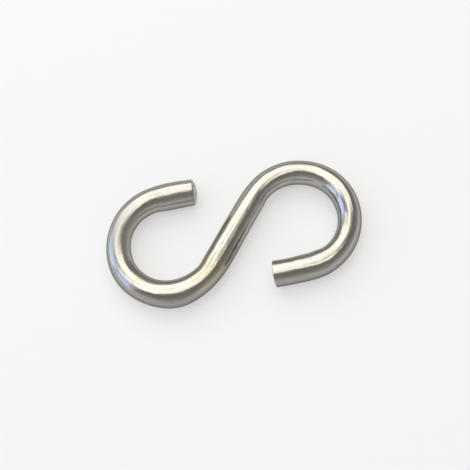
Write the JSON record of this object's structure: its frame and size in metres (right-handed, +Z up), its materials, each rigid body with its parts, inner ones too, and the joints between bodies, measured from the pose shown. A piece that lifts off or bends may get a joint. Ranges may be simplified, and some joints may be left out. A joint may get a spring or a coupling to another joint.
{
  "type": "s hook",
  "caption": "S-shaped hook bent cold from round steel wire, with an open round eye at each end that takes a ring, chain link or rod, and crowned cut ends.",
  "frame": {"origin": "under the middle of the shank, on the surface that the hook lies on", "axes": "+X along the line through both eyes, towards the right eye; +Y across it in the plane of the hook, towards the left eye's cut end; +Z up, square to the plane of the hook"},
  "size_m": [0.0584, 0.0288, 0.006],
  "materials": {
    "drawn_wire": "satin, drawn along the wire"
  },
  "bodies": {
    "root": {"bent_wire": "drawn_wire"}
  },
  "joints": []
}
